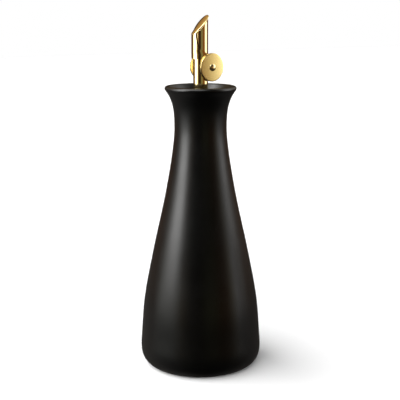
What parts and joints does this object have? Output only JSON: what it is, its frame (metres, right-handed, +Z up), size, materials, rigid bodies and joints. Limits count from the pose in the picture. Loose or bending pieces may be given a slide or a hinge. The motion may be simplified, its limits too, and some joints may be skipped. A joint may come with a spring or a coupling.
{
  "type": "ceramic oil dispenser bottle",
  "caption": "Tall tapered ceramic bottle for cooking oil, with a flared mouth and a stopper that holds a slant-cut pouring tube under a weighted hinged hood.",
  "frame": {"origin": "on the bottle's axis at the level of its foot ring, which stands on the table", "axes": "+Z up along the bottle's axis, +X towards the side the oil pours from, +Y along the hood's hinge"},
  "size_m": [0.0924, 0.0924, 0.2658],
  "materials": {
    "ceramic": "matt black glaze",
    "silicone": "matt moulded silicone",
    "polished_gold": "polished, gold-coloured plating",
    "turned_gold": "finely turned faces, gold-coloured plating"
  },
  "bodies": {
    "bottle": {"bottle": "ceramic", "stopper": "silicone", "pour_tube": "polished_gold"},
    "cap": {"hood": "polished_gold", "weight_right": "turned_gold", "weight_left": "turned_gold", "rivet_right": "polished_gold", "rivet_left": "polished_gold"}
  },
  "joints": [
    {"name": "cap_hinge", "type": "hinge", "parent": "bottle", "child": "cap", "pos_m": [0, 0, 0.232], "axis": [0, -1, 0], "range_deg": [0, 45]}
  ]
}
